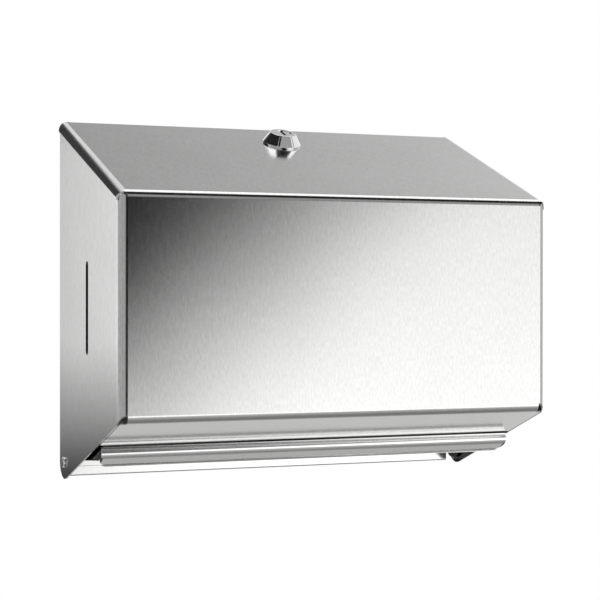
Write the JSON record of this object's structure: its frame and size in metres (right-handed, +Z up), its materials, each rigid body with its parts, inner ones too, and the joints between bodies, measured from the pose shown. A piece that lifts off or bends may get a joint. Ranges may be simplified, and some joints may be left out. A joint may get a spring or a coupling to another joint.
{
  "type": "paper towel dispenser",
  "caption": "Wall-mounted folded-towel dispenser in satin steel sheet, with a drop-down locking cover, sight slots and a towel tray with a rolled front lip.",
  "frame": {"origin": "centre of the four wall-screw holes, on the back plate's wall face", "axes": "+X to the right as seen from the front, +Y back into the wall, +Z up"},
  "size_m": [0.2802, 0.127, 0.2239],
  "materials": {
    "satin_steel": "satin brushed",
    "plate_steel": "mill",
    "zinc_steel": "zinc plated",
    "lock_chrome": "polished",
    "rivet_steel": "polished",
    "lock_brass": "machined",
    "spacer_nylon": "matte"
  },
  "bodies": {
    "wall_unit": {"back_plate": "plate_steel", "towel_tray": "satin_steel", "lock_strike": "zinc_steel", "right_pivot_rivet": "rivet_steel", "left_pivot_rivet": "rivet_steel", "right_pivot_washer": "spacer_nylon", "left_pivot_washer": "spacer_nylon"},
    "cover": {"cover_shell": "satin_steel", "lock_body": "lock_chrome", "lock_nut": "zinc_steel", "lock_washer": "zinc_steel"},
    "lock_rotor": {"lock_plug": "lock_chrome", "lock_wafer_1": "lock_brass", "lock_wafer_2": "lock_brass", "lock_wafer_3": "lock_brass", "lock_wafer_4": "lock_brass", "lock_wafer_5": "lock_brass", "stop_washer": "zinc_steel", "lock_cam": "zinc_steel", "cam_washer": "zinc_steel", "cam_screw": "zinc_steel"}
  },
  "joints": [
    {"name": "cover_hinge", "type": "hinge", "parent": "wall_unit", "child": "cover", "pos_m": [0, -0.011, -0.10462], "axis": [1, 0, 0], "range_deg": [0, 110]},
    {"name": "lock_turn", "type": "hinge", "parent": "cover", "child": "lock_rotor", "pos_m": [0, -0.03, 0.09727], "axis": [0, 0.3695, -0.9292], "range_deg": [0, 90]}
  ]
}
